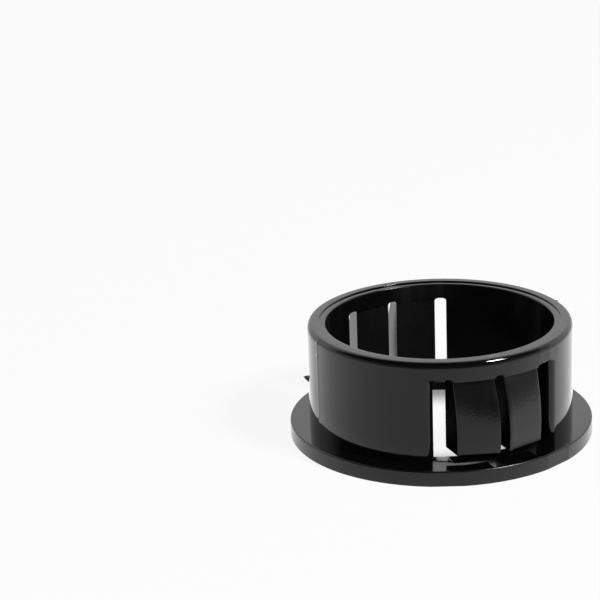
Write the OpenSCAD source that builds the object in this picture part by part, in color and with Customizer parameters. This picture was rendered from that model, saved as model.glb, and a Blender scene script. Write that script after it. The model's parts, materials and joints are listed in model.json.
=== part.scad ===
// Snap bushing: a moulded nylon sleeve that lines a round panel hole.
// Flange face on Z = 0, bore axis on Z, the two finger groups face -Y and +Y. Millimetres.

/* [Panel] */
// Diameter of the round panel hole that the bushing lines
panel_hole_d = 38.1; // [32:0.1:46]
// Thickness of the panel held between flange and fingers
panel_t = 1.2; // [0.8:0.1:3]
// Radial play between the sleeve and the panel hole
hole_clearance = 0.55; // [0.2:0.05:0.9]
// Axial play between the panel and the finger ends
panel_clearance = 0.1; // [0.05:0.05:0.4]

/* [Sleeve] */
// Wall thickness of the sleeve
wall_t = 2.6; // [2:0.1:3.4]
// Height from the flange face to the rim
total_h = 16.4; // [14:0.1:22]
// Height of the closed ring above the slits
ring_h = 2.4; // [1.6:0.1:3.4]
// Rounding of the rim's outer edge
rim_outer_r = 0.65; // [0.2:0.05:0.9]
// Rounding of the rim's inner edge
rim_inner_r = 0.7; // [0.2:0.05:0.9]

/* [Flange] */
// Width by which the flange stands out past the sleeve
flange_w = 2.75; // [1.8:0.05:5]
// Thickness of the flange
flange_t = 2.2; // [1.9:0.1:3.2]
// Rounding of the flange's outer edges
flange_edge_r = 0.2; // [0.1:0.05:0.8]
// Step by which the lip narrows the bore
lip_step = 1.5; // [0.8:0.1:2.5]
// Height of the cone that leads into the lip
lip_cone_h = 0.8; // [0.4:0.05:0.9]
// Rounding of the bore's mouth at the flange face
mouth_r = 0.7; // [0.2:0.05:0.75]

/* [Fingers] */
// Width of one locking finger
finger_w = 5.6; // [4:0.1:6]
// Width of the slit between the two fingers of a group
centre_slit_w = 1.3; // [1:0.05:2]
// Width of the outer slits where they meet the bore
side_slit_w = 1.45; // [1:0.05:2]
// Rounding of the wall's outer edge beside the outer slits
slit_edge_r = 0.85; // [0.3:0.05:0.95]
// Rounding of the upper slit corners
slit_corner_r = 0.45; // [0.15:0.05:0.45]
// Catch of a finger behind the edge of the panel hole
finger_catch = 0.75; // [0.4:0.05:1.2]
// Inward draw of a finger from its crest to its end
finger_draw = 0.3; // [0:0.05:0.35]
// Height of the finger's crest above its end
finger_crest_h = 4.7; // [2:0.1:6.4]

/* [Hidden] */
$fn = 96;
over = 1;
corner_bite = 0.04;
group_count = 2;
hole_r = panel_hole_d / 2;
sleeve_r = hole_r - hole_clearance;
bore_r = sleeve_r - wall_t;
lip_r = bore_r - lip_step;
flange_r = sleeve_r + flange_w;
reach = flange_r + over;
slit_top = total_h - ring_h;
finger_out = centre_slit_w / 2 + finger_w;
group_angle = asin((finger_out + side_slit_w) / bore_r);
gap_angle = asin((finger_out + side_slit_w / 2) / bore_r);
crest_r = hole_r + finger_catch;
end_r = crest_r - finger_draw;
end_z = flange_t + panel_t + panel_clearance;
crest_z = end_z + finger_crest_h;
ramp_top = slit_top - slit_corner_r;

// Waste outside a quarter round of radius r, in the first quadrant
module round_off(r) {
    difference() {
        square(r + over);
        circle(r);
    }
}

// Half section of sleeve, flange and lip
module turned_section() {
    difference() {
        union() {
            translate([bore_r, 0]) square([wall_t, total_h]);
            translate([lip_r, 0]) square([flange_r - lip_r, flange_t]);
        }
        polygon([
            [bore_r, flange_t],
            [lip_r, flange_t - lip_cone_h],
            [lip_r - over, flange_t - lip_cone_h],
            [lip_r - over, flange_t + over],
            [bore_r, flange_t + over]
        ]);
        translate([sleeve_r - rim_outer_r, total_h - rim_outer_r]) round_off(rim_outer_r);
        translate([bore_r + rim_inner_r, total_h - rim_inner_r]) rotate(90) round_off(rim_inner_r);
        translate([flange_r - flange_edge_r, flange_t - flange_edge_r]) round_off(flange_edge_r);
        translate([flange_r - flange_edge_r, flange_edge_r]) rotate(270) round_off(flange_edge_r);
        translate([lip_r + mouth_r, mouth_r]) rotate(180) round_off(mouth_r);
    }
}

// Slit between the two fingers of a group, with rounded upper corners
module centre_slit() {
    half = centre_slit_w / 2;
    rotate([90, 0, 0]) linear_extrude(reach) difference() {
        translate([-half, flange_t]) square([centre_slit_w, slit_top - flange_t]);
        translate([half - slit_corner_r, slit_top - slit_corner_r]) round_off(slit_corner_r);
        translate([slit_corner_r - half, slit_top - slit_corner_r]) rotate(90) round_off(slit_corner_r);
    }
}

// Wedge of the bore axis that opens towards -Y by an angle on each side
module wedge(angle) {
    half = reach * tan(angle);
    polygon([[0, 0], [half, -reach], [-half, -reach]]);
}

// Outer slit: one side follows the finger, the other is radial with a rounded outer edge
module side_slit() {
    inset = slit_corner_r - corner_bite;
    edge_inset = slit_edge_r - corner_bite;
    edge_mid_r = sleeve_r - edge_inset;
    edge_angle = group_angle + asin(edge_inset / edge_mid_r);
    difference() {
        translate([0, 0, flange_t]) {
            linear_extrude(slit_top - flange_t) intersection() {
                wedge(group_angle);
                translate([finger_out, -reach]) square(reach);
            }
            linear_extrude(ramp_top - flange_t) rotate(edge_angle)
                translate([0, -edge_mid_r]) rotate(180) round_off(slit_edge_r);
        }
        rotate([90, 0, 0]) linear_extrude(reach + over)
            translate([finger_out + inset, slit_top - inset]) rotate(90) round_off(slit_corner_r);
        rotate(group_angle) rotate([90, 0, 0]) linear_extrude(2 * reach)
            translate([-inset, slit_top - inset]) round_off(slit_corner_r);
    }
}

// Gap for the panel between the flange and the finger ends
module panel_gap() {
    translate([0, 0, flange_t]) linear_extrude(end_z - flange_t) wedge(gap_angle);
}

// Ramps on the outside of a finger group, before the slits part the fingers
module finger_ramps() {
    root_r = sleeve_r - wall_t / 2;
    low_z = flange_t + panel_t / 2;
    low_r = end_r - (end_z - low_z) * finger_draw / finger_crest_h;
    intersection() {
        rotate_extrude() polygon([
            [root_r, low_z],
            [low_r, low_z],
            [crest_r, crest_z],
            [sleeve_r, ramp_top],
            [root_r, ramp_top]
        ]);
        linear_extrude(total_h) wedge(gap_angle);
    }
}

module bushing() {
    color([0.05, 0.05, 0.055]) difference() {
        union() {
            rotate_extrude() turned_section();
            for (group = [0 : group_count - 1]) {
                rotate(group * 360 / group_count) finger_ramps();
            }
        }
        for (group = [0 : group_count - 1]) {
            rotate(group * 360 / group_count) {
                centre_slit();
                side_slit();
                mirror([1, 0, 0]) side_slit();
                panel_gap();
            }
        }
    }
}

bushing();
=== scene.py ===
"""Snap bushing for a round panel hole, dressed as a glossy black nylon moulding.

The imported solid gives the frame. A shell of the same section, slits and fingers stands for it and adds what is
finer: a shallow ledge on the rim, softened edges, flat finger faces, fine parting lines and the stub of the gate.
"""

import json
import logging
import math
from dataclasses import dataclass, replace
from enum import Enum, auto
from typing import Any

import bmesh
import bpy
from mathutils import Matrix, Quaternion, Vector


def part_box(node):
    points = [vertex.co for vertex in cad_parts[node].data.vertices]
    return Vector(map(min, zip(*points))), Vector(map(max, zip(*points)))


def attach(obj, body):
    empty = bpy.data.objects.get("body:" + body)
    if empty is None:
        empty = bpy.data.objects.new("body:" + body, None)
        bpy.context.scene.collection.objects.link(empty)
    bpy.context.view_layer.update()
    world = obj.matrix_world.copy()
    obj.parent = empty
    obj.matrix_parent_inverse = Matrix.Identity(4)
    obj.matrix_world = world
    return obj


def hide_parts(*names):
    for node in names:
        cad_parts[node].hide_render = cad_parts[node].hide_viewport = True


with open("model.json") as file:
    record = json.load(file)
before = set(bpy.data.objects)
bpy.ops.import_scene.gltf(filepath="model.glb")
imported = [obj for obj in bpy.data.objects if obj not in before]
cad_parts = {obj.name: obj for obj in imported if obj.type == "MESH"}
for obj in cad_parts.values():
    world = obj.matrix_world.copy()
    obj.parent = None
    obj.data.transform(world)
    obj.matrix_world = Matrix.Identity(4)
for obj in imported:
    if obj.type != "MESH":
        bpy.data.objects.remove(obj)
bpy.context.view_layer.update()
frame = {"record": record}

NODE = "bushing"
BODY = "root"
MM = 0.001
LOG = logging.getLogger("snap_bushing")


def linear(hex_colour: str) -> tuple[float, float, float, float]:
    """Turn an sRGB hex colour into linear values.

    Args:
        hex_colour: six hex digits with a leading hash.

    Returns:
        Red, green, blue and an alpha of one.
    """
    channels = (int(hex_colour[i:i + 2], 16) / 255 for i in (1, 3, 5))
    red, green, blue = (c / 12.92 if c <= 0.04045 else ((c + 0.055) / 1.055) ** 2.4 for c in channels)
    return red, green, blue, 1.0


def add_node(tree: bpy.types.NodeTree, kind: str, sockets: dict[Any, Any] | None = None, **settings: Any) -> Any:
    """Add a node to a tree with its settings, values and links.

    Args:
        tree: shader or geometry node tree.
        kind: Blender's name for the node's type.
        sockets: a value or an output socket for each input, by name or number.
        settings: properties of the node itself.

    Returns:
        The new node.
    """
    node = tree.nodes.new(kind)
    for name, value in settings.items():
        setattr(node, name, value)
    for key, value in (sockets or {}).items():
        if isinstance(value, bpy.types.NodeSocket):
            tree.links.new(value, node.inputs[key])
        else:
            node.inputs[key].default_value = value
    return node


def new_object(name: str, mesh: bpy.types.Mesh) -> bpy.types.Object:
    """Put a mesh into the scene as an object at the origin."""
    made = bpy.data.objects.new(name, mesh)
    bpy.context.scene.collection.objects.link(made)
    return made


def baked(source: bpy.types.Object, name: str) -> bpy.types.Object:
    """Turn an object with live modifiers into a plain mesh object.

    Args:
        source: the object to evaluate, which is removed.
        name: name of the plain object.

    Returns:
        The plain object.
    """
    graph = bpy.context.evaluated_depsgraph_get()
    mesh = bpy.data.meshes.new_from_object(source.evaluated_get(graph))
    mesh.name = name
    bpy.data.objects.remove(source)
    return new_object(name, mesh)


@dataclass(frozen=True)
class MouldedNylon:
    """Nylon 6/6 from a polished mould: deep black, glossy, with a faint waviness from shrinking.

    Attributes:
        name: name of the material.
        pigment: colour of the nylon.
        gloss: roughness where the mould is polished best.
        gloss_change: how much rougher its poorer patches are.
        patches: values of the waves between which the gloss changes.
        dull: how much rougher the fingers are, which slides form.
        dull_x_mm: how far the fingers reach to both sides of the YZ plane.
        dull_z_mm: lower and upper height between which they lie.
        plain: how much rougher the bore and the flange's edge are, where the mould is not polished.
        polished_r_mm: inner and outer radius between which it is.
        refraction: refractive index.
        wave_mm: length of the shrinking waves.
        wave_depth_mm: their depth.
        skin_mm: grain of the skin.
        skin_depth_mm: its depth.
        grain_mm: coarser grain that the slides leave on the fingers.
        grain_depth_mm: its depth.
    """

    name: str = "nylon_66_black_polished_mould"
    pigment: str = "#070708"
    gloss: float = 0.05
    gloss_change: float = 0.05
    patches: tuple[float, float] = (0.3, 0.7)
    dull: float = 0.16
    dull_x_mm: float = 6.3
    dull_z_mm: tuple[float, float] = (3.2, 13.6)
    plain: float = 0.16
    polished_r_mm: tuple[float, float] = (16.05, 20.95)
    refraction: float = 1.52
    wave_mm: float = 3.2
    wave_depth_mm: float = 0.010
    skin_mm: float = 0.22
    skin_depth_mm: float = 0.0006
    grain_mm: float = 0.35
    grain_depth_mm: float = 0.026

    def material(self) -> bpy.types.Material:
        """Build the shader: deep black with crisp mirror images, which go softer in the bore and on the fingers."""
        made = bpy.data.materials.new(self.name)
        made.use_nodes = True
        tree = made.node_tree
        shader = tree.nodes["Principled BSDF"]
        place = add_node(tree, "ShaderNodeTexCoord").outputs["Object"]
        # Slow waves: the mirror image of a straight edge wanders a little along the wall
        wave = add_node(tree, "ShaderNodeTexNoise",
                        {"Vector": place, "Scale": 1 / (self.wave_mm * MM), "Detail": 1.0})
        # Skin: drawn coarser than the polish really is, so that it still shows
        skin = add_node(tree, "ShaderNodeTexNoise",
                        {"Vector": place, "Scale": 1 / (self.skin_mm * MM), "Detail": 2.0})
        gloss = add_node(tree, "ShaderNodeMapRange",
                         {"Value": wave.outputs["Fac"], "From Min": self.patches[0], "From Max": self.patches[1],
                          "To Min": self.gloss, "To Max": self.gloss + self.gloss_change})
        # Duller faces: the fingers, the bore and the flange's edge show the room softer than the sleeve does
        axes = add_node(tree, "ShaderNodeSeparateXYZ", {0: place}).outputs
        beside = add_node(tree, "ShaderNodeMath", {0: axes["X"], 1: 0.0, 2: self.dull_x_mm * MM}, operation="COMPARE")
        low, high = self.dull_z_mm
        upright = add_node(tree, "ShaderNodeMath",
                           {0: axes["Z"], 1: (low + high) / 2 * MM, 2: (high - low) / 2 * MM}, operation="COMPARE")
        duller = add_node(tree, "ShaderNodeMath", {0: beside.outputs[0], 1: upright.outputs[0]}, operation="MULTIPLY")
        level = add_node(tree, "ShaderNodeVectorMath", {0: place, 1: (1.0, 1.0, 0.0)}, operation="MULTIPLY")
        radius = add_node(tree, "ShaderNodeVectorMath", {0: level.outputs[0]}, operation="LENGTH")
        inner, outer = self.polished_r_mm
        polished = add_node(tree, "ShaderNodeMath",
                            {0: radius.outputs["Value"], 1: (inner + outer) / 2 * MM, 2: (outer - inner) / 2 * MM},
                            operation="COMPARE")
        plain = add_node(tree, "ShaderNodeMath", {0: 1.0, 1: polished.outputs[0]}, operation="SUBTRACT")
        softer = add_node(tree, "ShaderNodeMath",
                          {0: plain.outputs[0], 1: self.plain, 2: gloss.outputs["Result"]}, operation="MULTIPLY_ADD")
        rough = add_node(tree, "ShaderNodeMath",
                         {0: duller.outputs[0], 1: self.dull, 2: softer.outputs[0]}, operation="MULTIPLY_ADD")
        waves = add_node(tree, "ShaderNodeBump",
                         {"Height": wave.outputs["Fac"], "Distance": self.wave_depth_mm * MM})
        bumps = add_node(tree, "ShaderNodeBump",
                         {"Height": skin.outputs["Fac"], "Distance": self.skin_depth_mm * MM,
                          "Normal": waves.outputs["Normal"]})
        # Grain of the slides: it mottles what the fingers reflect, and is drawn coarser than it is so that it shows
        grain = add_node(tree, "ShaderNodeTexNoise",
                         {"Vector": place, "Scale": 1 / (self.grain_mm * MM), "Detail": 2.0})
        mottle = add_node(tree, "ShaderNodeBump",
                          {"Height": grain.outputs["Fac"], "Distance": self.grain_depth_mm * MM,
                           "Strength": duller.outputs[0], "Normal": bumps.outputs["Normal"]})
        shader.inputs["Base Color"].default_value = linear(self.pigment)
        shader.inputs["IOR"].default_value = self.refraction
        tree.links.new(rough.outputs[0], shader.inputs["Roughness"])
        tree.links.new(mottle.outputs["Normal"], shader.inputs["Normal"])
        return made


@dataclass(frozen=True)
class Row:
    """Level of the wall at which its outline is drawn, in millimetres.

    Attributes:
        height: height above the flange's outer face.
        edge: radius that rounds the outer edges beside the slits.
        spread: how far the sides grow into the slits.
        draw: how far the whole outline draws in.
        fade: share of the edge rounding that is kept.
    """

    height: float
    edge: float
    spread: float = 0.0
    draw: float = 0.0
    fade: float = 1.0


class Zone(Enum):
    """What stands between two neighbouring columns."""

    WALL = auto()
    FINGER = auto()
    SLIT = auto()


@dataclass(frozen=True)
class Column:
    """Upright plane across the wall, on which a section of the sleeve is drawn.

    Attributes:
        zone: whether it lies on the wall or on a finger.
        angle: turn of the plane from -Y towards +X, in radians.
        offset: distance of the plane from the bore axis, in millimetres.
        side: which way the slit lies, -1 or +1, for a plane on an edge rounding, and 0 for all others.
        turn: place on the edge rounding, from 0 at the slit to a quarter turn, in radians.
    """

    zone: Zone
    angle: float
    offset: float = 0.0
    side: int = 0
    turn: float = math.pi / 2

    def mirrored(self) -> "Column":
        """The same plane on the other side of the YZ plane."""
        return replace(self, angle=-self.angle, offset=-self.offset, side=-self.side)

    def point(self, radius: float, row: Row, edge: float, inwards: int) -> Vector:
        """Point of the outline at a radius, moved by the roundings.

        Args:
            radius: radius of the bare surface, in millimetres.
            row: the level.
            edge: radius of the rounding beside the slit.
            inwards: +1 on the outside, where roundings draw the surface in, and -1 in the bore.

        Returns:
            The place in millimetres.
        """
        across = self.offset
        if self.side:
            across += self.side * (row.spread - row.draw - edge * (1 - math.cos(self.turn)))
        inset = row.draw + row.fade * edge * (1 - math.sin(self.turn))
        along = math.sqrt(radius ** 2 - across ** 2) - inwards * inset
        sine, cosine = math.sin(self.angle), math.cos(self.angle)
        return Vector((along * sine + across * cosine, across * sine - along * cosine, row.height))


@dataclass
class Moulding:
    """Sleeve, flange, lip and fingers: the whole bushing as one rounded shell. Sizes in millimetres.

    Attributes:
        material: the finish.
        sleeve_r: outer radius of the sleeve.
        wall: thickness of its wall.
        ring: height of the closed ring above the slits.
        rim_outer: width and height of the rounding on the rim's outer edge.
        rim_inner_r: rounding of its inner edge.
        ledge_r: radius out to which the ledge on the rim reaches.
        ledge_drop: depth of that ledge.
        ledge_edge_r: rounding of its step.
        flange: thickness of the flange.
        flange_edge_r: rounding of its outer edges.
        lip_cone: height of the cone that leads into the lip.
        mouth_r: rounding of the bore's mouth.
        slit_half: half the width of the slit between the fingers.
        finger: width of a finger.
        side_slit: width of the outer slits at the bore.
        slit_corner_r: rounding of the upper slit corners.
        gap: height of the gap under the fingers.
        crest_r: radius of the fingers' crest.
        crest_rise: height of the crest above the fingers' end.
        end_r: radius of that end.
        wall_edge_r: rounding of the wall's outer edge beside the outer slits.
        finger_edge_r: rounding of the fingers' outer side edges.
        finger_end_r: rounding of their ends.
        bore_edge_r: rounding of all edges at the bore.
        crest_blend: half the height over which the crest is blended.
        crown: how far a finger stands out, as a share of the crest's reach, at its inner and at its outer side.
        ramp_set_back: how far the fingers lie behind the ring where they meet it.
        seam_w: half the width of the parting lines.
        seam_h: their height.
        weld: distance within which points of the two halves are joined.
        halves: how many equal halves the bushing has.
        edge_steps: stretches in a quarter round on an edge.
        sharp_deg: angle past which an edge is drawn sharp.
    """

    material: bpy.types.Material
    sleeve_r: float = 18.5
    wall: float = 2.6
    ring: float = 2.4
    rim_outer: tuple[float, float] = (0.65, 1.0)
    rim_inner_r: float = 0.2
    ledge_r: float = 16.85
    ledge_drop: float = 0.2
    ledge_edge_r: float = 0.1
    flange: float = 2.2
    flange_edge_r: float = 0.2
    lip_cone: float = 0.8
    mouth_r: float = 0.7
    slit_half: float = 0.65
    finger: float = 5.6
    side_slit: float = 1.45
    slit_corner_r: float = 0.45
    gap: float = 1.3
    crest_r: float = 19.8
    crest_rise: float = 4.7
    end_r: float = 19.5
    wall_edge_r: float = 0.85
    finger_edge_r: float = 0.14
    finger_end_r: float = 0.2
    bore_edge_r: float = 0.13
    crest_blend: float = 3.3
    crown: tuple[float, float] = (1.45, 0.78)
    ramp_set_back: float = 0.3
    seam_w: float = 0.16
    seam_h: float = 0.05
    weld: float = 0.0016
    halves: int = 2
    edge_steps: int = 6
    sharp_deg: float = 40.0

    def __post_init__(self) -> None:
        """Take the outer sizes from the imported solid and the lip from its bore."""
        _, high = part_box(NODE)
        mounts = {m["name"]: m for m in frame["record"]["mounts"]}
        self.flange_r = high.x / MM
        self.height = high.z / MM
        self.lip_r = mounts["cable_bore"]["dims"]["r_mm"]
        self.bore_r = self.sleeve_r - self.wall
        self.slit_top = self.height - self.ring
        self.ramp_top = self.slit_top - self.slit_corner_r
        self.end_z = self.flange + self.gap
        self.crest_z = self.end_z + self.crest_rise
        self.finger_out = self.slit_half + self.finger
        self.group_angle = math.asin((self.finger_out + self.side_slit) / self.bore_r)
        self.top_row = Row(self.slit_top, self.finger_edge_r, spread=self.slit_corner_r)

    def columns(self) -> list[Column]:
        """Planes from one parting line to the other, in order of angle."""
        finger_steps, wall_steps, clear_of_edge = 8, 28, 1.5
        turns = [math.pi / 2 * k / self.edge_steps for k in range(self.edge_steps + 1)]
        right = [Column(Zone.FINGER, 0, self.slit_half, side=-1, turn=t) for t in turns]
        right += [Column(Zone.FINGER, 0, self.slit_half + self.finger * k / finger_steps)
                  for k in range(1, finger_steps)]
        right += [Column(Zone.FINGER, 0, self.finger_out, side=1, turn=t) for t in reversed(turns)]
        right += [Column(Zone.WALL, self.group_angle, side=-1, turn=t) for t in turns]
        first = self.group_angle + clear_of_edge * self.wall_edge_r / self.sleeve_r
        last = math.pi / 2 - self.seam_w / self.sleeve_r
        right += [Column(Zone.WALL, first + (last - first) * k / wall_steps) for k in range(wall_steps + 1)]
        right.append(Column(Zone.WALL, math.pi / 2))
        return [c.mirrored() for c in reversed(right)] + right

    def rows(self, zone: Zone) -> list[Row]:
        """Levels of the wall or of a finger, from its lower end to the top of the slits."""
        quarter = [math.pi / 2 * k / self.edge_steps for k in range(self.edge_steps + 1)]
        corner = [(self.ramp_top + self.slit_corner_r * math.sin(t), self.slit_corner_r * (1 - math.cos(t)))
                  for t in quarter[1:-1]]
        if zone is Zone.WALL:
            steps, rise = 4, self.ramp_top - self.flange
            levels = [Row(self.flange + rise * k / steps, self.wall_edge_r) for k in range(steps + 1)]
            run_out = self.wall_edge_r - self.finger_edge_r
            levels += [Row(height, self.wall_edge_r - run_out * spread / self.slit_corner_r, spread=spread)
                       for height, spread in corner]
            return [*levels, self.top_row]
        edge, end = self.finger_edge_r, self.finger_end_r
        levels = [Row(self.end_z + end * (1 - math.cos(t)), edge, draw=end * (1 - math.sin(t))) for t in quarter]
        low, steps = levels[-1].height, 24
        levels += [Row(low + (self.ramp_top - low) * k / steps, edge) for k in range(1, steps + 1)]
        levels += [Row(height, edge, spread=spread) for height, spread in corner]
        return [*levels, self.top_row]

    def ramp(self, height: float, across: float) -> float:
        """Outer radius of a finger: two slopes that blend over the crest, on a face that is flat from side to side.

        Args:
            height: height above the flange's outer face.
            across: distance from the middle of the group.

        Returns:
            The radius in millimetres.
        """
        slack = 0.01
        if height > self.ramp_top + slack:
            return self.sleeve_r
        below = (self.crest_r - self.end_r) / self.crest_rise
        above = (self.crest_r - self.sleeve_r + self.ramp_set_back) / (self.ramp_top - self.crest_z)
        past = height - self.crest_z
        blend = max(0.0, self.crest_blend - abs(past)) ** 2 / (4 * self.crest_blend)
        slope = above * past if past > 0 else -below * past
        proud = self.crest_r - slope - (above + below) * blend - self.sleeve_r
        near, far = (math.sqrt((self.sleeve_r + proud * (share if proud > 0 else 1)) ** 2 - edge ** 2)
                     for share, edge in zip(self.crown, (self.slit_half, self.finger_out)))
        flat = near + (far - near) * (abs(across) - self.slit_half) / self.finger
        return math.hypot(flat, across)

    @staticmethod
    def arc(centre: tuple[float, float], radius: float, start: float, steps: int,
            tall: float = 1.0) -> list[tuple[float, float]]:
        """Quarter round in the section, anticlockwise.

        Args:
            centre: radius and height of the arc's centre.
            radius: radius of the arc.
            start: angle of its first point in degrees, from the outward direction.
            steps: how many stretches it has.
            tall: how many times higher than wide it is.

        Returns:
            Points as radius and height.
        """
        turns = (math.radians(start + 90 * k / steps) for k in range(steps + 1))
        return [(centre[0] + radius * math.cos(t), centre[1] + tall * radius * math.sin(t)) for t in turns]

    def rim_section(self) -> list[tuple[float, float]]:
        """Section of the rim, from the outside over the top and down a shallow ledge to the bore."""
        low = self.height - self.ledge_drop
        wide, tall = self.rim_outer
        outer = (self.sleeve_r - wide, self.height - tall)
        step = (self.ledge_r + self.ledge_edge_r, self.height - self.ledge_edge_r)
        inner = (self.bore_r + self.rim_inner_r, low - self.rim_inner_r)
        return [*self.arc(outer, wide, start=0, steps=12, tall=tall / wide),
                *self.arc(step, self.ledge_edge_r, start=90, steps=4), (self.ledge_r, low),
                *self.arc(inner, self.rim_inner_r, start=90, steps=6)]

    def foot_section(self) -> list[tuple[float, float]]:
        """Section of lip and flange, from the lip's cone under the mouth and round the flange."""
        mouth = (self.lip_r + self.mouth_r, self.mouth_r)
        low = (self.flange_r - self.flange_edge_r, self.flange_edge_r)
        high = (self.flange_r - self.flange_edge_r, self.flange - self.flange_edge_r)
        return [(self.lip_r, self.flange - self.lip_cone), *self.arc(mouth, self.mouth_r, start=180, steps=8),
                *self.arc(low, self.flange_edge_r, start=270, steps=5),
                *self.arc(high, self.flange_edge_r, start=0, steps=5)]

    def halves_tree(self) -> bpy.types.NodeTree:
        """Geometry nodes that turn copies of a half round the axis and close the seams."""
        tree = bpy.data.node_groups.new("halves_round_axis", "GeometryNodeTree")
        socket = tree.interface.new_socket
        socket("Geometry", in_out="INPUT", socket_type="NodeSocketGeometry")
        socket("Copies", in_out="INPUT", socket_type="NodeSocketInt")
        socket("Seam Distance", in_out="INPUT", socket_type="NodeSocketFloat")
        socket("Material", in_out="INPUT", socket_type="NodeSocketMaterial")
        socket("Geometry", in_out="OUTPUT", socket_type="NodeSocketGeometry")
        given = add_node(tree, "NodeGroupInput").outputs
        points = add_node(tree, "GeometryNodePoints", {"Count": given["Copies"]})
        step = add_node(tree, "ShaderNodeMath", {0: math.tau, 1: given["Copies"]}, operation="DIVIDE")
        index = add_node(tree, "GeometryNodeInputIndex")
        turn = add_node(tree, "ShaderNodeMath", {0: index.outputs[0], 1: step.outputs[0]}, operation="MULTIPLY")
        about = add_node(tree, "FunctionNodeAxisAngleToRotation", {"Angle": turn.outputs[0]})
        copies = add_node(tree, "GeometryNodeInstanceOnPoints",
                          {"Points": points.outputs[0], "Instance": given["Geometry"],
                           "Rotation": about.outputs[0]})
        real = add_node(tree, "GeometryNodeRealizeInstances", {"Geometry": copies.outputs[0]})
        closed = add_node(tree, "GeometryNodeMergeByDistance",
                          {"Geometry": real.outputs[0], "Distance": given["Seam Distance"]})
        dressed = add_node(tree, "GeometryNodeSetMaterial",
                           {"Geometry": closed.outputs[0], "Material": given["Material"]})
        add_node(tree, "NodeGroupOutput", {0: dressed.outputs[0]})
        return tree

    def build(self) -> bpy.types.Object:
        """Join the two halves into the moulding that stands for the solid.

        Returns:
            The finished piece, riding on the part's body.
        """
        half = new_object("half_shell", HalfShell(self).mesh("half_shell"))
        modifier = half.modifiers.new("halves", "NODES")
        modifier.node_group = self.halves_tree()
        names = {s.name: s.identifier for s in modifier.node_group.interface.items_tree if s.in_out == "INPUT"}
        modifier[names["Copies"]] = self.halves
        modifier[names["Seam Distance"]] = self.weld * MM
        modifier[names["Material"]] = self.material
        piece = baked(half, "bushing_moulding")
        shape = bmesh.new()
        shape.from_mesh(piece.data)
        bmesh.ops.recalc_face_normals(shape, faces=shape.faces)
        LOG.info("open edges %d", sum(not e.is_manifold for e in shape.edges))
        shape.to_mesh(piece.data)
        shape.free()
        piece.data.shade_smooth()
        piece.data.set_sharp_from_angle(angle=math.radians(self.sharp_deg))
        weigh = piece.modifiers.new("face_weights", "WEIGHTED_NORMAL")
        weigh.keep_sharp = True
        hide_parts(NODE)
        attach(piece, BODY)
        return piece


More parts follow.
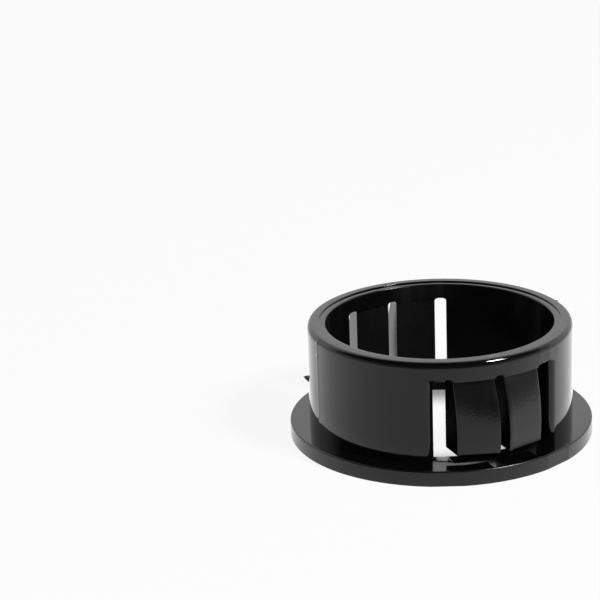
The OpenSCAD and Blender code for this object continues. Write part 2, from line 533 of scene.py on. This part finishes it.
class HalfShell:
    """Grid of columns and rows that becomes one half of the moulding."""

    def __init__(self, plan: Moulding) -> None:
        """Start an empty grid for a moulding's sizes."""
        self.plan = plan
        self.columns = plan.columns()
        self.rows = {zone: plan.rows(zone) for zone in (Zone.WALL, Zone.FINGER)}
        self.base = {Zone.WALL: self.rows[Zone.WALL][0], Zone.FINGER: Row(plan.flange, plan.finger_edge_r)}
        self.shape = bmesh.new()
        self.points: dict[tuple, bmesh.types.BMVert] = {}

    def vertex(self, name: str, column: int, radius: float, row: Row, edge: float) -> bmesh.types.BMVert:
        """The vertex of a surface on a column, made when first asked for."""
        key = (name, column, radius, row)
        if key not in self.points:
            inwards = -1 if name == "bore" else 1
            place = self.columns[column].point(radius, row, edge, inwards)
            self.points[key] = self.shape.verts.new(place)
        return self.points[key]

    def seam(self, column: int) -> float:
        """How far the parting line lifts the outside at a column."""
        return self.plan.seam_h if column in (0, len(self.columns) - 1) else 0.0

    def outer(self, column: int, row: Row) -> bmesh.types.BMVert:
        """Vertex on the outside of the wall."""
        plan = self.plan
        radius = plan.sleeve_r
        if row.height > plan.flange:
            plane = self.columns[column]
            on_finger = plane.zone is Zone.FINGER
            radius = plan.ramp(row.height, plane.offset) if on_finger else radius + self.seam(column)
        return self.vertex("outside", column, radius, row, row.edge)

    def inner(self, column: int, row: Row) -> bmesh.types.BMVert:
        """Vertex on the bore side of the wall."""
        return self.vertex("bore", column, self.plan.bore_r, row, self.plan.bore_edge_r)

    def zone(self, cell: int) -> Zone:
        """What stands between a column and the next."""
        before, after = self.columns[cell], self.columns[cell + 1]
        slit = before.side > 0 and after.side < 0 and before.turn == after.turn == 0.0
        return Zone.SLIT if slit else before.zone

    def between(self, before: list[bmesh.types.BMVert], after: list[bmesh.types.BMVert]) -> None:
        """Draw the faces between two rows of vertices."""
        for k in range(len(before) - 1):
            self.shape.faces.new((before[k], after[k], after[k + 1], before[k + 1]))

    def foot(self, column: int) -> list[bmesh.types.BMVert]:
        """Vertices from the bore under the flange and back to the sleeve."""
        base = self.base[self.columns[column].zone]
        bare = [self.vertex("foot", column, radius, replace(base, height=height, fade=0.0), base.edge)
                for radius, height in self.plan.foot_section()]
        return [self.inner(column, base), *bare, self.outer(column, base)]

    def rim(self, column: int) -> list[bmesh.types.BMVert]:
        """Vertices from the top of the slits over the rim and down into the bore."""
        plan, top = self.plan, self.plan.top_row
        quarter = [math.pi / 2 * k / plan.edge_steps for k in range(1, plan.edge_steps + 1)]
        soft = [replace(top, height=top.height + top.edge * (1 - math.cos(t)), fade=1 - math.sin(t)) for t in quarter]
        bare = []
        for radius, height in plan.rim_section():
            outside = max(0.0, radius - plan.sleeve_r + plan.rim_outer[0]) / plan.rim_outer[0]
            lifted = radius + self.seam(column) * outside
            bare.append(self.vertex("rim", column, lifted, replace(top, height=height, fade=0.0), top.edge))
        return [self.outer(column, top), *(self.outer(column, row) for row in soft), *bare,
                *(self.inner(column, row) for row in reversed(soft)), self.inner(column, top)]

    def wall(self, column: int, row: Row) -> list[bmesh.types.BMVert]:
        """Outer and inner vertex of the wall at a row."""
        return [self.outer(column, row), self.inner(column, row)]

    def draw_cell(self, cell: int) -> None:
        """Draw all that stands between a column and the next."""
        pair = (cell, cell + 1)
        zone = self.zone(cell)
        self.between(*(self.foot(c) for c in pair))
        self.between(*(self.rim(c) for c in pair))
        if zone is not Zone.WALL:
            self.between(*(self.wall(c, self.base[self.columns[c].zone]) for c in pair))
        if zone is Zone.SLIT:
            self.between(*(self.wall(c, self.plan.top_row) for c in pair))
            for column in pair:
                rows = self.rows[self.columns[column].zone]
                self.between([self.outer(column, row) for row in rows], [self.inner(column, row) for row in rows])
            return
        rows = self.rows[zone]
        self.between(*([self.outer(c, row) for row in rows] for c in pair))
        self.between(*([self.inner(c, row) for row in rows] for c in pair))
        if zone is Zone.FINGER:
            self.between(*(self.wall(c, rows[0]) for c in pair))

    def mesh(self, name: str) -> bpy.types.Mesh:
        """Draw the half and write it out as a mesh in metres."""
        for cell in range(len(self.columns) - 1):
            self.draw_cell(cell)
        bmesh.ops.scale(self.shape, vec=(MM, MM, MM), verts=self.shape.verts)
        made = bpy.data.meshes.new(name)
        self.shape.to_mesh(made)
        self.shape.free()
        return made


@dataclass(frozen=True)
class MouldMark:
    """Small rough spur of plastic that the mould leaves on the moulding. Sizes in millimetres.

    Attributes:
        name: piece name.
        angle: place round the axis in degrees, from -Y towards +X.
        radius: radius of the surface that it grows from.
        height: height above the flange's outer face.
        reach: how far it stands out.
        half_width: half its width round the axis.
        half_height: half its extent along the axis.
        hook: how far its tip leans upwards.
    """

    name: str
    angle: float
    radius: float
    height: float
    reach: float
    half_width: float
    half_height: float
    hook: float

    def build(self, material: bpy.types.Material) -> bpy.types.Object:
        """Make the spur as a tapered, uneven stub sunk into its surface."""
        sides, rings, sunk, taper = 14, 5, 0.15, 1.6
        coarse, fine = 0.18, 0.12
        angle = math.radians(self.angle)
        out = Vector((math.sin(angle), -math.cos(angle), 0.0))
        across = Vector((math.cos(angle), math.sin(angle), 0.0))
        shape = bmesh.new()
        levels = []
        for ring in range(rings):
            share = ring / rings
            middle = out * (self.radius - sunk + (self.reach + sunk) * share) + Vector((0, 0, self.hook * share ** 2))
            level = []
            for k in range(sides):
                turn = math.tau * k / sides
                uneven = 1 + coarse * math.sin(3 * turn + 2 * share) + fine * math.sin(5 * turn)
                size = (1 - share ** taper) * uneven
                place = (middle + across * (self.half_width * size * math.cos(turn))
                         + Vector((0, 0, self.height + self.half_height * size * math.sin(turn))))
                level.append(shape.verts.new(place * MM))
            levels.append(level)
        tip = shape.verts.new((out * (self.radius + self.reach) + Vector((0, 0, self.height + self.hook))) * MM)
        for low, high in zip(levels, levels[1:]):
            for k in range(sides):
                shape.faces.new((low[k - 1], low[k], high[k], high[k - 1]))
        for k in range(sides):
            shape.faces.new((levels[-1][k - 1], levels[-1][k], tip))
        shape.faces.new(levels[0])
        bmesh.ops.recalc_face_normals(shape, faces=shape.faces)
        mesh = bpy.data.meshes.new(self.name)
        shape.to_mesh(mesh)
        shape.free()
        mesh.shade_smooth()
        mesh.materials.append(material)
        piece = new_object(self.name, mesh)
        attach(piece, BODY)
        return piece


@dataclass(frozen=True)
class Viewpoint:
    """Where the camera stands, in millimetres and degrees, and where the bushing falls in the picture.

    Attributes:
        aim_z: height on the bore axis of the point that the camera is set out from.
        distance: distance of the camera from that point.
        azimuth: turn of the camera round the axis, from -Y towards +X.
        elevation: height of the camera above that point, as an angle.
        roll: turn of the camera about its own line of sight.
        focal_px: focal length, in pixels of the picture.
        aim_px: where the point falls in the picture, from its upper left corner.
        picture_px: side of the picture.
        sensor_mm: width of the sensor.
    """

    aim_z: float = 8.3
    distance: float = 296.0
    azimuth: float = -25.3
    elevation: float = 20.4
    roll: float = -0.75
    focal_px: float = 2101.0
    aim_px: tuple[float, float] = (440.0, 372.5)
    picture_px: float = 600.0
    sensor_mm: float = 36.0

    def horizontal(self, turn: float = 0.0) -> Vector:
        """Level direction from the bushing to the camera, turned towards the camera's right."""
        angle = math.radians(self.azimuth + turn)
        return Vector((math.sin(angle), -math.cos(angle), 0.0))

    def build(self) -> bpy.types.Object:
        """Make the scene's camera."""
        lens = bpy.data.cameras.new("camera")
        lens.sensor_width = self.sensor_mm
        lens.lens = self.sensor_mm * self.focal_px / self.picture_px
        lens.clip_start, lens.clip_end = 10 * MM, 10.0
        camera = bpy.data.objects.new("camera", lens)
        bpy.context.scene.collection.objects.link(camera)
        bpy.context.scene.camera = camera
        rise = math.radians(self.elevation)
        away = self.horizontal() * math.cos(rise) + Vector((0, 0, math.sin(rise)))
        camera.location = (Vector((0, 0, self.aim_z)) + away * self.distance) * MM
        middle = self.picture_px / 2
        pixel = Vector((self.aim_px[0] - middle, middle - self.aim_px[1], -self.focal_px)).normalized()
        straight = Vector((0, 0, -1))
        camera.rotation_mode = "QUATERNION"
        camera.rotation_quaternion = ((-away).to_track_quat("-Z", "Y")
                                      @ Quaternion((0, 0, 1), math.radians(self.roll))
                                      @ pixel.rotation_difference(straight))
        return camera


@dataclass
class Studio:
    """White floor with painted light and shade, a backdrop, a small softbox up on the right and a low fill from all
    round.

    Attributes:
        view: the camera's place, from which the backdrop and the softbox are set out.
        floor_size: side of the floor, in metres.
        paper: colour of the floor.
        lift: share of plain light that the camera and mirrors see on the floor; the rest is its lit surface.
        bore_light: strength of that plain light at the lip, inside the bore, where a painted shade darkens it.
        bore_shade: radii between which the plain light falls off into that painted shade, in millimetres.
        under: radii between which that painted shade ends, under the flange, in millimetres; within the inner one the
            floor is painted dark in reflections too.
        near: strength of the painted light on the floor in reflections, in front of the bushing.
        far: strength of that painted light beside and behind the bushing.
        far_turn: turn of the way in which the painted light is strongest from straight behind the bushing, in degrees.
        far_span: cosines of the turn from that way, between which the painted light grows stronger.
        close: how many times stronger the painted light is in reflections, right at the flange.
        close_to: distances between which that falls off, in millimetres.
        fade: distances between which the painted light fades in reflections, in millimetres.
        fade_to: share of its strength that is left then.
        fill: strength of the low fill.
        fill_band: heights of a direction, as sines, between which the fill fades out.
        backdrop: strength of the backdrop in reflections.
        backdrop_side: cosines of the turn from straight behind, between which the backdrop comes in.
        backdrop_foot: height of a direction, as a sine, above which the backdrop is whole.
        room: strength of the room in reflections, at the horizon in front, at the horizon beside and overhead.
        room_side: cosines of the turn from straight behind, between front and beside.
        room_top: height of a direction, as a sine, from which the room is as it is overhead.
        lamp_power: power of the softbox, in watts.
        lamp_distance: distance of the softbox, in metres.
        lamp_size: side of the softbox, in metres.
        lamp_turn: turn of the softbox from straight behind the bushing towards the camera's right, in degrees.
        lamp_rise: height of the softbox above the floor, in degrees.
    """

    view: Viewpoint
    floor_size: float = 3.0
    paper: str = "#f4f4f4"
    lift: float = 0.92
    bore_light: float = 0.28
    bore_shade: tuple[float, float] = (7.5, 14.25)
    under: tuple[float, float] = (15.0, 19.5)
    near: float = 0.64
    far: float = 1.6
    far_turn: float = -10.0
    far_span: tuple[float, float] = (-1.0, 0.63)
    close: float = 1.3
    close_to: tuple[float, float] = (21.0, 31.0)
    fade: tuple[float, float] = (60.0, 300.0)
    fade_to: float = 0.4
    fill: float = 1.0
    fill_band: tuple[float, float] = (0.2, 0.6)
    backdrop: float = 1.0
    backdrop_side: tuple[float, float] = (0.05, 0.45)
    backdrop_foot: float = 0.1
    room: tuple[float, float, float] = (0.1, 0.9, 0.02)
    room_side: tuple[float, float] = (-0.9, 0.3)
    room_top: float = 0.42
    lamp_power: float = 7.6
    lamp_distance: float = 0.9
    lamp_size: float = 0.17
    lamp_turn: float = 122.0
    lamp_rise: float = 45.0

    def floor(self) -> bpy.types.Object:
        """White sheet under the bushing: a faint cast shadow, painted shade in the bore and painted light in
        reflections.
        """
        half = self.floor_size / 2
        mesh = bpy.data.meshes.new("floor")
        corners = [(-half, -half, 0), (half, -half, 0), (half, half, 0), (-half, half, 0)]
        mesh.from_pydata(corners, [], [(0, 1, 2, 3)])
        paper = bpy.data.materials.new("white_paper_painted_light_and_shade")
        paper.use_nodes = True
        tree = paper.node_tree
        tree.nodes.clear()
        ray = add_node(tree, "ShaderNodeLightPath").outputs
        place = add_node(tree, "ShaderNodeTexCoord").outputs["Object"]
        mirror = add_node(tree, "ShaderNodeMath", {0: ray["Is Glossy Ray"], 1: ray["Is Transmission Ray"]},
                          operation="MAXIMUM")
        # Reflections: painted light, stronger beside and behind the bushing and right at the flange and fading with
        # distance, and painted shade, dark, inside the bore
        way = add_node(tree, "ShaderNodeVectorMath", {0: place}, operation="NORMALIZE")
        depth = add_node(tree, "ShaderNodeVectorMath",
                         {0: way.outputs[0], 1: -self.view.horizontal(self.far_turn)}, operation="DOT_PRODUCT")
        painted_light_by_way = add_node(tree, "ShaderNodeMapRange",
                         {"Value": depth.outputs["Value"], "From Min": self.far_span[0], "From Max": self.far_span[1],
                          "To Min": self.near, "To Max": self.far})
        reach = add_node(tree, "ShaderNodeVectorMath", {0: place}, operation="LENGTH")
        # Mask of the painted shade inside the bore: nought within it, one from under the flange outwards
        outside = add_node(tree, "ShaderNodeMapRange",
                           {"Value": reach.outputs["Value"], "From Min": self.under[0] * MM,
                            "From Max": self.under[1] * MM, "To Min": 0.0, "To Max": 1.0})
        faded = add_node(tree, "ShaderNodeMapRange",
                         {"Value": reach.outputs["Value"], "From Min": self.fade[0] * MM,
                          "From Max": self.fade[1] * MM, "To Min": 1.0, "To Max": self.fade_to},
                         interpolation_type="SMOOTHSTEP")
        nearby = add_node(tree, "ShaderNodeMapRange",
                          {"Value": reach.outputs["Value"], "From Min": self.close_to[0] * MM,
                           "From Max": self.close_to[1] * MM, "To Min": self.close, "To Max": 1.0})
        stronger = add_node(tree, "ShaderNodeMath", {0: painted_light_by_way.outputs["Result"], 1: nearby.outputs["Result"]},
                            operation="MULTIPLY")
        pale = add_node(tree, "ShaderNodeMath", {0: stronger.outputs[0], 1: faded.outputs["Result"]},
                        operation="MULTIPLY")
        painted_floor_in_mirrors = add_node(tree, "ShaderNodeMath", {0: pale.outputs[0], 1: outside.outputs["Result"]},
                          operation="MULTIPLY")
        # Seen straight: plain white, with a painted shade that darkens it towards the lip inside the bore
        within = add_node(tree, "ShaderNodeMapRange",
                          {"Value": reach.outputs["Value"], "From Min": self.bore_shade[0] * MM,
                           "From Max": self.bore_shade[1] * MM, "To Min": 1.0, "To Max": self.bore_light},
                          interpolation_type="SMOOTHSTEP")
        white = add_node(tree, "ShaderNodeMix", {"Factor": outside.outputs["Result"], "A": within.outputs["Result"],
                                                 "B": 1.0})
        strength = add_node(tree, "ShaderNodeMix", {"Factor": ray["Is Camera Ray"], "A": painted_floor_in_mirrors.outputs[0],
                                                    "B": white.outputs[0]})
        either = add_node(tree, "ShaderNodeMath", {0: mirror.outputs[0], 1: ray["Is Camera Ray"]}, operation="MAXIMUM")
        share = add_node(tree, "ShaderNodeMath", {0: either.outputs[0], 1: self.lift}, operation="MULTIPLY")
        lit = add_node(tree, "ShaderNodeBsdfDiffuse", {"Color": linear(self.paper)})
        plain = add_node(tree, "ShaderNodeEmission", {"Strength": strength.outputs[0]})
        seen = add_node(tree, "ShaderNodeMixShader", {0: share.outputs[0], 1: lit.outputs[0], 2: plain.outputs[0]})
        add_node(tree, "ShaderNodeOutputMaterial", {"Surface": seen.outputs[0]})
        mesh.materials.append(paper)
        made = new_object("floor", mesh)
        return made

    def world(self) -> None:
        """White for the camera, a white backdrop for reflections and a low fill for the rest."""
        world = bpy.data.worlds.new("studio")
        world.use_nodes = True
        bpy.context.scene.world = world
        tree = world.node_tree
        tree.nodes.clear()
        ray = add_node(tree, "ShaderNodeLightPath").outputs
        way = add_node(tree, "ShaderNodeTexCoord").outputs["Generated"]
        back = -self.view.horizontal()
        facing = add_node(tree, "ShaderNodeVectorMath", {0: way, 1: back}, operation="DOT_PRODUCT")
        rise = add_node(tree, "ShaderNodeSeparateXYZ", {0: way})
        behind = add_node(tree, "ShaderNodeMapRange",
                          {"Value": facing.outputs["Value"], "From Min": self.backdrop_side[0],
                           "From Max": self.backdrop_side[1]}, interpolation_type="SMOOTHSTEP")
        foot = add_node(tree, "ShaderNodeMapRange",
                        {"Value": rise.outputs["Z"], "From Min": 0.0, "From Max": self.backdrop_foot},
                        interpolation_type="SMOOTHSTEP")
        skyline = add_node(tree, "ShaderNodeMapRange",
                           {"Value": facing.outputs["Value"], "From Min": self.room_side[0],
                            "From Max": self.room_side[1], "To Min": self.room[0], "To Max": self.room[1]})
        dark = add_node(tree, "ShaderNodeMapRange",
                        {"Value": rise.outputs["Z"], "From Min": 0.0, "From Max": self.room_top,
                         "To Min": skyline.outputs["Result"], "To Max": self.room[2]})
        white = add_node(tree, "ShaderNodeMath", {0: behind.outputs["Result"], 1: foot.outputs["Result"]},
                         operation="MULTIPLY")
        drop = add_node(tree, "ShaderNodeMix", {"Factor": white.outputs[0], "A": dark.outputs["Result"],
                                                "B": self.backdrop})
        low = add_node(tree, "ShaderNodeMapRange",
                       {"Value": rise.outputs["Z"], "From Min": self.fill_band[0], "From Max": self.fill_band[1],
                        "To Min": self.fill, "To Max": 0.0}, interpolation_type="SMOOTHSTEP")
        mirror = add_node(tree, "ShaderNodeMath", {0: ray["Is Glossy Ray"], 1: ray["Is Transmission Ray"]},
                          operation="MAXIMUM")
        level = add_node(tree, "ShaderNodeMix", {"Factor": mirror.outputs[0], "A": low.outputs["Result"],
                                                 "B": drop.outputs[0]})
        shown = add_node(tree, "ShaderNodeMix", {"Factor": ray["Is Camera Ray"], "A": level.outputs[0], "B": 1.0})
        light = add_node(tree, "ShaderNodeBackground", {"Strength": shown.outputs[0]})
        light.inputs["Color"].default_value = (1, 1, 1, 1)
        add_node(tree, "ShaderNodeOutputWorld", {"Surface": light.outputs[0]})

    def lamp(self) -> bpy.types.Object:
        """Small softbox, up on the right of the camera."""
        data = bpy.data.lights.new("softbox", "AREA")
        data.energy = self.lamp_power
        data.shape = "SQUARE"
        data.size = self.lamp_size
        made = bpy.data.objects.new("softbox", data)
        bpy.context.scene.collection.objects.link(made)
        rise = math.radians(self.lamp_rise)
        way = self.view.horizontal(180 - self.lamp_turn) * math.cos(rise) + Vector((0, 0, math.sin(rise)))
        made.location = way * self.lamp_distance
        made.rotation_mode = "QUATERNION"
        made.rotation_quaternion = (-way).to_track_quat("-Z", "Y")
        return made

    def build(self) -> None:
        """Set up floor, light and view transform."""
        self.floor()
        self.world()
        self.lamp()
        bpy.context.scene.view_settings.view_transform = "Standard"


def main() -> None:
    """Build the bushing and its studio."""
    logging.basicConfig(level=logging.INFO, format="%(name)s: %(message)s")
    view = Viewpoint()
    view.build()
    Studio(view).build()
    nylon = MouldedNylon().material()
    plan = Moulding(nylon)
    gate = MouldMark("bushing_gate_stub", angle=-112.0, radius=plan.sleeve_r, height=8.0, reach=0.7,
                     half_width=0.7, half_height=0.5, hook=0.35)
    flash = MouldMark("bushing_rim_flash", angle=90.0, radius=plan.sleeve_r - 0.2, height=plan.height - 0.4,
                      reach=0.45, half_width=0.35, half_height=0.25, hook=0.05)
    for piece in (plan.build(), gate.build(nylon), flash.build(nylon)):
        LOG.info("%s: %d faces", piece.name, len(piece.data.polygons))


if __name__ == "__main__":
    main()
